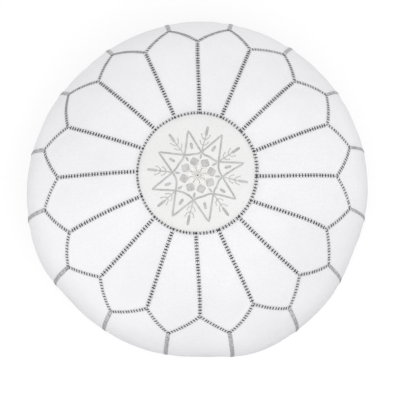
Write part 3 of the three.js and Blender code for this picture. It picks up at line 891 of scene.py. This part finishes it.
def on_medallion(flat):
    """Points of a drawing on the medallion's leather, and the normals there."""
    flat = flat + EMBROIDERY_CENTRE
    phi = np.arctan2(flat[..., 1], flat[..., 0])
    turn = phi / PITCH
    for _ in range(5):  # the swing depends on the turn, so both are closed in on together
        edge, swung = junction(turn)
        turn = (phi - swung) / PITCH
    down = share_at(np.hypot(flat[..., 0], flat[..., 1])) / edge
    points, normals = skin(*medallion_place(turn, down))
    return points + normals * stand("medallion", turn, down, points)[..., None], normals


def polar(radius, angle):
    return np.stack([radius * np.cos(angle), radius * np.sin(angle)], -1)


def smooth_line(corners, steps=14):
    """A smooth line through corners."""
    corners = np.asarray(corners, float)
    before, after = 2 * corners[:1] - corners[1:2], 2 * corners[-1:] - corners[-2:-1]
    padded = np.concatenate([before, corners, after])
    t = np.linspace(0, 1, steps, endpoint=False)[:, None]
    pieces = [
        sum(weight * padded[first + shift] for shift, weight in cubic_taps(t))
        for first in range(1, len(corners))
    ]
    return np.concatenate([*pieces, corners[-1:]])


def satin(flat, width, rise=0.0005, ends=0.12):
    """A band of satin stitches along a drawn line; its ends are rounded over a share of it."""
    points, normals = on_medallion(flat)
    across = unit(np.cross(normals, direction(points)))
    t = np.linspace(0, 1, len(flat))
    taper = np.sqrt(np.clip(np.minimum(t, 1 - t) / ends, 0.02, 1))
    half, lift = (width / 2 * taper)[:, None], (rise * np.sqrt(taper))[:, None]
    return tube(points + normals * 0.0001, across * half, normals * lift, 10)


def spoke(inner, outer, angle, steps=12):
    return polar(np.linspace(inner, outer, steps), angle)


def lozenge(angle):
    line = spoke(LOZENGE_AT - LOZENGE_SIZE, LOZENGE_AT + LOZENGE_SIZE, angle, 17)
    width = 1.95 * LOZENGE_SIZE * (1 - np.abs(np.linspace(-1, 1, 17)) ** 1.5) + 0.0004
    return satin(line, width, 0.0006, 0.02)


def straight(start, end, steps=12):
    return mix(start, end, np.linspace(0, 1, steps)[:, None])


def sprig(start, angle):
    """A stem that grows out of a crossing, with two pairs of berried twigs and a long bud."""
    end = polar(0.68 * R, angle)
    made = [satin(straight(mix(start, end, 0.05), end), STEM_W)]
    made.append(satin(spoke(0.665 * R, 0.835 * R, angle), BUD_W))
    for share, reach, spread in TWIGS:
        foot = mix(start, end, share)
        for way in (-1, 1):
            lean = angle + way * spread
            bend = foot + polar(0.5 * reach * R, lean + 0.25 * way)
            tip = foot + polar(reach * R, lean)
            berry = straight(tip, tip + polar(0.024 * R, lean - 0.6 * way), 6)
            made.append(satin(smooth_line([foot, bend, tip], 7), TWIG_W, 0.00035))
            made.append(satin(berry, BERRY_W, 0.0006, 0.4))
    return made


def drawn(k, radius, reaches, turn, swings):
    """One of the eight places that a star's tip or crossing was drawn at."""
    return polar(radius * reaches[k % 8], turn + k % 8 * EIGHTH + math.radians(swings[k % 8]))


def tip_of(k):
    return drawn(k, STAR_TIP, TIP_REACH, TIP_TURN, TIP_SWING)


def crossing_of(k):
    return drawn(k, STAR_CROSSING, CROSSING_REACH, CROSSING_TURN, CROSSING_SWING)


def star_work():
    """Strands from tip to tip but one, a leaf in each arm, a dash under and a sprig over each
    crossing."""
    made = []
    for k in range(8):
        tip, crossing = tip_of(k), crossing_of(k)
        bow = polar(STAR_BOW, CROSSING_TURN + (k + 0.5) * EIGHTH)
        line = smooth_line([tip, crossing, bow, crossing_of(k + 1), tip_of(k + 2)], 20)
        made.append(satin(line, STRAND_W, 0.0005 + 0.0001 * (k % 2), 0.03))
        made.append(satin(straight(0.575 * tip, 0.725 * tip), LEAF_W, 0.0005, 0.2))
        made.append(satin(straight(0.69 * crossing, 0.91 * crossing, 10), DASH_W, 0.0004, 0.3))
        made += sprig(crossing, CROSSING_TURN + k * EIGHTH + math.radians(BUD_SWING[k]))
    return made


def rosette():
    """Eight pale petals round the centre, drawn apart by fine grey veins."""
    petals, veins = [], []
    for k in range(8):
        angle = CROSSING_TURN + k * EIGHTH
        width = 0.0078 * np.sin(math.pi * np.linspace(0.08, 0.97, 14) ** 1.25) ** 0.8
        petals.append(satin(spoke(0.012 * R, 0.185 * R, angle, 14), width, 0.00055, 0.05))
        veins.append(satin(spoke(0.02 * R, 0.14 * R, angle + EIGHTH / 2), 0.0009, 0.0008))
        veins.append(satin(spoke(0.03 * R, 0.10 * R, angle), 0.0007, 0.0009))
    return petals, veins


petals, veins = rosette()
lozenges = [lozenge(TIP_TURN + k * EIGHTH) for k in range(8)]
eye = satin(np.linspace((-0.0011, 0), (0.0011, 0), 7), 0.0021, 0.0013, 0.5)
stitched("medallion_embroidery", star_work(), THREAD["silver"], ["medallion_star"])
stitched("medallion_veins", veins, THREAD["vein"])
stitched("medallion_lozenges", lozenges, THREAD["pale"])
stitched("medallion_rosette", petals, THREAD["cream"])
stitched("medallion_eye", [eye], (THREAD["ladder"][0], "silver_thread"))


# ---- The base ----
RECESS_DEPTH, RECESS_FLAT, RECESS_OUTER = 0.008, (0.138, 0.016), (0.152, 0.030)
SLIT_X, SLIT_Y, PLAIN_SEAM_Y = 0.128, 0.005, 0.0003
GATHERS = 90  # round the base's rim
ZIP_ROW_X, ZIP_ROW_Y, PLAIN_ROW_Y = SLIT_X + 0.006, SLIT_Y + 0.0032, 0.0036  # rows of stitches
STITCH_PITCH, STITCH_LENGTH, STITCH_RISE = 0.0042, 0.003, 0.0003
WELT_R, WELT_RIPPLES = 0.00105, 120


def recess(x, y):
    """How far the base leather rises over the floor to make room for the zip."""
    along = 1 - smoothstep(np.abs(x), RECESS_FLAT[0], RECESS_OUTER[0])
    beside = 1 - smoothstep(np.abs(y), RECESS_FLAT[1], RECESS_OUTER[1])
    return RECESS_DEPTH * along * beside


def base_surface(x, y):
    """The underside of the base leather: nearly flat on the floor, a little creased."""
    creases = 0.5 + 0.5 * wobble(np.stack([x, y, 0 * x], -1), 0.035, 4)
    rim = smoothstep(np.hypot(x, y), BASE_R - 0.02, BASE_R - 0.004)
    gathers = np.cos(np.arctan2(y, x) * GATHERS) * rim
    return np.stack([x, y, recess(x, y) + 0.0002 + 0.0006 * creases + 0.0002 * (1 + gathers)], -1)


def base_half(name, side):
    turn = np.linspace(-1, 1, 181) * 0.985 * math.pi / 2
    x = side * BASE_R * np.sin(turn)[None, :]
    opening = 1 - smoothstep(np.abs(x), SLIT_X - 0.003, SLIT_X + 0.002)
    edge = mix(PLAIN_SEAM_Y, SLIT_Y, opening)
    y = side * mix(edge, np.sqrt(BASE_R**2 - x**2), spaced(0.15, 0.0028)[:, None])
    outer = base_surface(x + 0 * y, y)
    run, rest = lengths_along(outer, 0)
    distance = np.minimum(run, rest)
    outer[..., 2] += turned_in(distance)
    leather(f"base_leather_{name}", outer, -UP, distance, f"base_half_{name}", (2 * BASE_R, BASE_R))


base_half("left", 1)
base_half("right", -1)


def stitch_row(line, up):
    """Separate straight stitches along a line."""
    run = lengths_along(line, 0)[0]
    t = np.linspace(0, 1, 7)
    place = np.arange(0.0, run[-1] - STITCH_LENGTH, STITCH_PITCH)[:, None] + STITCH_LENGTH * t
    arch = STITCH_RISE * np.sin(math.pi * t) ** 0.5 - 0.0002
    return cords(read_along(line, run, place) + up * arch[:, None], up, STITCH_R)


def base_stitching():
    """A row of stitches round the zip on each side, and one along each plain seam."""
    ends, corner = np.full(8, ZIP_ROW_X), np.linspace(0.001, ZIP_ROW_Y, 8)
    zip_row = (
        np.concatenate([-ends, np.linspace(-ZIP_ROW_X, ZIP_ROW_X, 220), ends]),
        np.concatenate([corner, np.full(220, ZIP_ROW_Y), corner[::-1]]),
    )
    tail = np.linspace(ZIP_ROW_X + 0.004, BASE_R - 0.003, 30)
    plain_rows = [(way * tail, np.full(30, PLAIN_ROW_Y)) for way in (-1, 1)]
    rows = [(x, side * y) for side in (-1, 1) for x, y in (*plain_rows, zip_row)]
    return [stitch_row(base_surface(x, y), -UP) for x, y in rows]


def welt():
    """The welt in the base seam: a filled cord of leather, gathered by its stitches."""
    low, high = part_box("base_piping")
    phi = TURN * np.arange(480) / 480
    out = np.stack([np.cos(phi), np.sin(phi), 0 * phi], -1)
    up = UP + 0 * out
    centres = ((high[0] + BASE_R) / 2 + 0.0002) * out + (high[2] + low[2]) / 2 * up
    thick = WELT_R + 0.00005 * np.cos(WELT_RIPPLES * phi)[:, None]
    return tube(centres, thick * out, thick * up, 12, looped=True)


stitched("base_stitching", base_stitching(), THREAD["white"])
stitched("base_welt", [welt()], WHITE_LEATHER, ["base_piping"])


# ---- The zip ----
TAPE_THICK, TAPE_WAVE = 0.0006, 0.021
COIL_PITCH, COIL_THREAD, COIL_Y = 0.0016, 0.00032, 0.0042
STOP_EDGE, PLATE_EDGE, FINE_EDGE = 0.0004, 0.0003, 0.0001  # how far metal edges are rounded
SLIDER_X, PLATE_THICK, BAIL_DEPTH = 0.113, 0.0015, 0.0035
FLANGE_IN, FLANGE_THICK, FLANGE_TOP = 0.0034, 0.0012, 0.0098
BAIL_REACH, BAIL_W, BAIL_R = 0.0044, 0.0014, 0.0006
PULL_PIVOT, PULL_TILT = np.array([SLIDER_X, 0, 0.00475]), math.radians(7.5)
PULL_THICK, PULL_START, PULL_END, PULL_SIDE, PULL_RIM = 0.0014, 0.0062, 0.028, 0.0045, 0.0012
ARM_IN, ARM_OUT, ARM_END, PIN_REACH = 0.0022, 0.0035, 0.0075, 0.003


def widest(low, high):
    """The nearest and farthest that a box reaches from the zip's middle."""
    return sorted((abs(low[1]), abs(high[1])))


def zip_tape(side, name):
    """A woven tape with a cord at the coil's edge; it is slightly wavy where it was sewn."""
    low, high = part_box(f"zip_tape_{name}")
    near, far = widest(low, high)
    x = np.linspace(low[0], high[0], 181)[None, ::side]
    share = np.concatenate([np.linspace(0, 0.8, 9), np.linspace(0.84, 1, 7)])[:, None]
    y = side * mix(far, near, share)[::-1] + 0 * x
    x = x + 0 * y
    along_coil = np.exp(-(((np.abs(y) - COIL_Y) / 0.0007) ** 2))
    wave = 0.0001 * np.sin(x * TURN / TAPE_WAVE) * (np.abs(y) / far)
    outer = np.stack([x, y, low[2] + 0.0001 + wave - 0.0003 * along_coil], -1)
    uv = np.tile(outer[..., :2].reshape(-1, 2), (2, 1))
    inner, node = outer + [0, 0, TAPE_THICK], f"zip_tape_{name}"
    made = plate(f"tape_{name}", outer, inner, ZIP_TAPE, [node], uv=uv)


def squarish(v, power=0.45):
    """Presses a sine or cosine towards -1 and 1, which makes a circle a rounded square."""
    return np.sign(v) * np.abs(v) ** power


def zip_coil(side, name):
    """One side's nylon coil, its loops hooked between those of the other side, and its core."""
    low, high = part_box(f"zip_coil_{name}")
    loops = int((high[0] - low[0]) / COIL_PITCH)
    turns = np.arange(loops * 14 + 1) / 14
    angle = TURN * (turns + (0.5 if side < 0 else 0))
    reach_in, reach_out = -0.0002, widest(low, high)[1] - COIL_THREAD
    middle, half = (reach_in + reach_out) / 2, (reach_out - reach_in) / 2
    height, rise = (low[2] + high[2]) / 2, (high[2] - low[2]) / 2 - COIL_THREAD
    x = low[0] + COIL_THREAD + turns * (high[0] - low[0] - 2 * COIL_THREAD) / loops
    y = side * (middle - half * squarish(np.cos(angle), 0.7))
    centres = np.stack([x, y, height + rise * np.sin(angle)], -1)
    out = np.stack([0 * x, -side * np.cos(angle), np.sin(angle)], -1)
    coil = cords(centres[None], out, COIL_THREAD)
    ends = [(end, side * (middle + 0.0003), height) for end in (low[0] + 0.0004, high[0] - 0.0004)]
    line = np.linspace(*ends, 120)
    across, up = np.array([0, side * 0.0007, 0]), np.array([0, 0, side * 0.0006])
    core = tube(line, across + 0 * line, up + 0 * line, 8)
    stitched(f"coil_{name}", [coil, core], NYLON, [f"zip_coil_{name}"])


for side, name in ((1, "left"), (-1, "right")):
    zip_tape(side, name)
    zip_coil(side, name)


def solid(outline, low, high, edge):
    """A slab with this outline between two heights, its edges rounded."""
    work = bmesh.new()
    face = work.faces.new([work.verts.new((x, y, low)) for x, y in outline])
    grown = bmesh.ops.extrude_face_region(work, geom=[face])["geom"]
    tops = [v for v in grown if isinstance(v, bmesh.types.BMVert)]
    bmesh.ops.translate(work, verts=tops, vec=(0, 0, high - low))
    bmesh.ops.recalc_face_normals(work, faces=work.faces)
    rounding = {"offset": edge, "segments": 3, "profile": 0.5, "affect": "EDGES"}
    bmesh.ops.bevel(work, geom=list(work.edges), **rounding)
    work.verts.index_update()
    verts = np.array([v.co[:] for v in work.verts])
    faces = [[v.index for v in f.verts] for f in work.faces]
    work.free()
    firsts = [face.index(min(face)) for face in faces]  # as bmesh starts them anywhere
    faces = sorted(face[first:] + face[:first] for face, first in zip(faces, firsts))
    return verts, faces, verts[:, :2].copy()


def rounded_box(low, high, edge):
    outline = [(low[0], low[1]), (high[0], low[1]), (high[0], high[1]), (low[0], high[1])]
    return solid(outline, low[2], high[2], edge)


def stop(node):
    """A metal stop, crimped round the tape: two rounded jaws with a groove between them."""
    low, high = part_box(node)
    third = (high[0] - low[0]) / 3
    groove_low = (low[0] + third, low[1] + 0.0003, low[2] + 0.0004)
    groove_high = (high[0] - third, high[1] - 0.0003, high[2] - 0.0002)
    parts = [
        rounded_box(low, (low[0] + 1.3 * third, high[1], high[2]), STOP_EDGE),
        rounded_box((high[0] - 1.3 * third, low[1], low[2]), high, STOP_EDGE),
        rounded_box(groove_low, groove_high, STOP_EDGE / 2),
    ]
    stitched(node.replace("zip_", "metal_"), parts, NICKEL, [node])


for node in ("zip_top_stop_left", "zip_top_stop_right", "zip_bottom_stop"):
    stop(node)


def slider():
    """Two waisted plates joined by a wedge, with a flange down each side and a bail below."""
    low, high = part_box("zip_slider")
    half = (high[0] - low[0]) / 2
    t = np.linspace(-1, 1, 15)
    waist = high[1] * (0.80 + 0.20 * smoothstep(t, -0.9, 0.6)) * np.where(np.abs(t) > 0.9, 0.86, 1)
    edge = list(zip(SLIDER_X + half * t, waist))
    outline = [(x, -y) for x, y in edge] + edge[::-1]
    lower = low[2] + BAIL_DEPTH
    wedge_low = (SLIDER_X + 0.003, -0.0003, lower + 0.0005)
    wedge_high = (SLIDER_X + 0.008, 0.0003, high[2] - 0.0005)
    parts = [
        solid(outline, lower, lower + PLATE_THICK, PLATE_EDGE),
        solid(outline, high[2] - PLATE_THICK, high[2], PLATE_EDGE),
        rounded_box(wedge_low, wedge_high, FINE_EDGE),
    ]
    flange_x = half - 0.0006
    for near in (-FLANGE_IN - FLANGE_THICK, FLANGE_IN):
        flange_low = (SLIDER_X - flange_x, near, lower + 0.0006)
        flange_high = (SLIDER_X + flange_x, near + FLANGE_THICK, FLANGE_TOP)
        parts.append(rounded_box(flange_low, flange_high, STOP_EDGE))
    arch = np.linspace(0, math.pi, 25)
    root = lower + 0.0004  # the bail's ends are sunk in the lower plate
    x = SLIDER_X - BAIL_REACH * squarish(np.cos(arch))
    z = root - (root - low[2] - BAIL_R) * squarish(np.sin(arch))
    centres = np.stack([x, 0 * x, z], -1)
    across = np.array([0, 1.0, 0]) + 0 * centres
    up = unit(np.cross(direction(centres), across))
    parts.append(tube(centres, BAIL_W * across, BAIL_R * up, 12))
    stitched("slider_body", parts, NICKEL, ["zip_slider"], body=SLIDER)


def pull():
    """A pin in the bail, two arms and a long tab with a raised rim, hanging towards the floor."""
    half = PULL_THICK / 2
    t = np.linspace(0, TURN, 60, endpoint=False)
    middle, reach = (PULL_START + PULL_END) / 2, (PULL_END - PULL_START) / 2
    flare = PULL_SIDE * (0.82 + 0.18 * smoothstep(np.cos(t), -0.8, 0.9))

    def outline(inset):
        x = middle + (reach - inset) * squarish(np.cos(t))
        return np.stack([x, (flare - inset) * squarish(np.sin(t))], -1)

    tab = [tuple(p) for p in outline(PULL_RIM)]
    parts = [solid(tab, -0.45 * PULL_THICK, 0.27 * PULL_THICK, FINE_EDGE)]
    rim = np.concatenate([outline(PULL_RIM / 2), np.zeros((60, 1))], 1)
    up = UP + 0 * rim
    across = unit(np.cross(direction(rim, looped=True), up))
    parts.append(tube(rim, PULL_RIM / 2 * across, half * up, 10, looped=True))
    for near in (-ARM_OUT, ARM_IN):
        far = near + ARM_OUT - ARM_IN
        parts.append(rounded_box((-half, near, -half), (ARM_END, far, half), PLATE_EDGE))
    pin = np.linspace((0, -PIN_REACH, 0), (0, PIN_REACH, 0), 9)
    x_way, z_way = np.array([half, 0, 0]) + 0 * pin, np.array([0, 0, half]) + 0 * pin
    parts.append(tube(pin, z_way, x_way, 14))
    cos, sin = math.cos(PULL_TILT), math.sin(PULL_TILT)
    hung = []
    for verts, faces, uv in parts:
        x, y, z = verts.T
        hung.append((np.stack([-x * cos - z * sin, -y, z * cos - x * sin], -1) + PULL_PIVOT, faces, uv))
    stitched("pull_tab", hung, NICKEL, ["zip_pull"], body=PULL)


slider()
pull()


# ---- The inner bag and its filling ----
BAG_DEPTH, BAG_THICK, FILLING_DEPTH = 0.0058, 0.0009, 0.0105  # both depths are under the skin
BAG_FLOOR_R, BAG_MOUTH_R = 0.160, 0.040
OVER_ZIP, ZIP_ROOM_X, ZIP_ROOM_Y = 0.0145, (0.150, 0.175), (0.024, 0.048)
HEM_R, HEM_GATHER = 0.0016, 0.0003


def soft_layer(depth, columns, floor_radii, creases):
    """A layer inside the cover, down its sides and in along the floor; creases says how much
    deeper each point lies."""
    phi = TURN * np.arange(columns)[None, :] / columns
    points, normals = skin(phi, np.linspace(0, 1, 110)[:, None])
    points[0], normals[0] = points[0].mean(0), [0, 0, 1]
    upper = points - normals * (depth + creases(points))[..., None]
    x, y = floor_radii[:, None] * np.cos(phi), floor_radii[:, None] * np.sin(phi)
    raised = (1 - smoothstep(np.abs(x), *ZIP_ROOM_X)) * (1 - smoothstep(np.abs(y), *ZIP_ROOM_Y))
    lower = np.stack([x, y, depth + mix(BASE_SEAM_LIFT, OVER_ZIP - BAG_DEPTH, raised)], -1)
    lower[..., 2] += creases(lower)
    return np.concatenate([upper, lower])


def cloth_creases(points):
    """Long soft folds in cotton that is a little too big for its place."""
    angle = np.arctan2(points[..., 1], points[..., 0])
    radius = np.hypot(points[..., 0], points[..., 1])
    around = np.stack([angle * 0.25, radius * 0.5, points[..., 2] * 0.4], -1)
    folds = np.abs(wobble(around, 0.03, 7)) + 0.5 * np.abs(wobble(points, 0.018, 8))
    return 0.0014 * np.clip(1 - folds, 0, 1) ** 2


def lumps(points):
    return 0.0035 * (0.5 + 0.5 * wobble(points, 0.03, 9)) + 0.001 * wobble(points, 0.011, 10)


def inner_bag():
    radii = np.linspace(BAG_FLOOR_R, BAG_MOUTH_R, 40)
    outer, inner = (soft_layer(BAG_DEPTH + d, 240, radii, cloth_creases) for d in (0, BAG_THICK))
    more = {"looped": True, "weld": True}
    bag = plate("cotton_bag", outer, inner, COTTON, ["inner_bag"], **more)
    hem = outer[-1] + [0, 0, 0.0006]
    up = UP + 0 * hem
    across = unit(np.cross(direction(hem, looped=True), up))
    thick = HEM_R + HEM_GATHER * np.cos(np.arange(240) * TURN / 8)[:, None]
    rolled = tube(hem, thick * across, 0.7 * thick * up, 10, looped=True)
    stitched("bag_hem", [rolled], COTTON)


def filling():
    radii = np.append(np.linspace(BAG_FLOOR_R, 0.004, 40), 0.0)
    rows = soft_layer(FILLING_DEPTH, 150, radii, lumps)
    faces = grid_faces(grid_index(*rows.shape[:2], looped=True)).tolist()
    made = finish_object("fibre_filling", rows, faces, FIBRE, ["stuffing"], weld=True)


inner_bag()
filling()


# ---- Light, floor and camera ----
WORLD_LIGHT, FLOOR_GLOW, FLOOR_SIZE, FLOOR_GAP = 0.67, 0.655, 8, 0.0002
WHITE = (1, 1, 1, 1)
LIGHTS = (  # name, place, size, power
    ("overhead", (0.22, -0.76, 2.6), 1.8, 26.7),
    ("back_fill", (-1.4, 1.8, 1.0), 1.4, 6),
    ("right_fill", (1.9, 1.3, 1.0), 1.4, 7),
    ("left_fill", (-1.9, -1.2, 0.7), 1.4, 6),
)
LIGHT_AIM = Vector((0, 0, 0.15))
CAMERA_TILT, CAMERA_DISTANCE = math.radians(8.0), 1.785
CAMERA_AIM = Vector((0.0035, -0.0133, GIRTH_Z))
LENS, SENSOR = 104.4, 36


def place(name, data, where, aim):
    """Adds a light or camera that looks from a place towards another."""
    made = bpy.data.objects.new(name, data)
    made.location = where
    made.rotation_euler = (aim - Vector(where)).to_track_quat("-Z", "Y").to_euler()
    bpy.context.scene.collection.objects.link(made)
    return made


def light():
    world = bpy.data.worlds.new("studio")
    bpy.context.scene.world = world
    world.use_nodes = True
    backdrop = world.node_tree.nodes["Background"].inputs
    backdrop["Color"].default_value, backdrop["Strength"].default_value = WHITE, WORLD_LIGHT
    for name, where, size, power in LIGHTS:
        data = bpy.data.lights.new(name, "AREA")
        data.shape, data.size, data.energy = "DISK", size, power
        place(name, data, where, LIGHT_AIM)
    bpy.context.scene.view_settings.view_transform = "Standard"


def floor():
    """A pale glowing floor that shows from above only, so that the underside can be seen."""
    f = Finish("floor", Roughness=0.9, Specular_IOR_Level=0.1)
    f.link(f.ramp(f.noise(0.8), (0.3, 0.34), (0.7, 0.36)), "Base Color")
    f.shader.inputs["Emission Color"].default_value = WHITE
    f.shader.inputs["Emission Strength"].default_value = FLOOR_GLOW
    under = f.add("ShaderNodeNewGeometry", "Backfacing", {})
    clear = f.add("ShaderNodeBsdfTransparent", "BSDF", {})
    both = {0: under, 1: f.shader.outputs["BSDF"], 2: clear}
    shown = f.add("ShaderNodeMixShader", "Shader", both)
    f.tree.links.new(shown, f.tree.nodes["Material Output"].inputs["Surface"])
    work = bmesh.new()
    bmesh.ops.create_grid(work, x_segments=4, y_segments=4, size=FLOOR_SIZE)
    mesh = bpy.data.meshes.new("floor")
    work.to_mesh(mesh)
    work.free()
    mesh.materials.append(f.material)
    made = bpy.data.objects.new("floor", mesh)
    made.location.z = -FLOOR_GAP
    bpy.context.scene.collection.objects.link(made)
    made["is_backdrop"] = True


def camera():
    """Almost straight down, a little from the front (-Y), with the pouf filling the frame."""
    data = bpy.data.cameras.new("camera")
    data.lens, data.sensor_width = LENS, SENSOR
    front, up = math.sin(CAMERA_TILT) * CAMERA_DISTANCE, math.cos(CAMERA_TILT) * CAMERA_DISTANCE
    eye = (CAMERA_AIM.x, -front, GIRTH_Z + up)
    bpy.context.scene.camera = place("camera", data, eye, CAMERA_AIM)


light()
floor()
camera()

boxes = {"cad": cad_box, "visual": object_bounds()}
{key: [list(map(float, corner)) for corner in box] for key, box in boxes.items()}
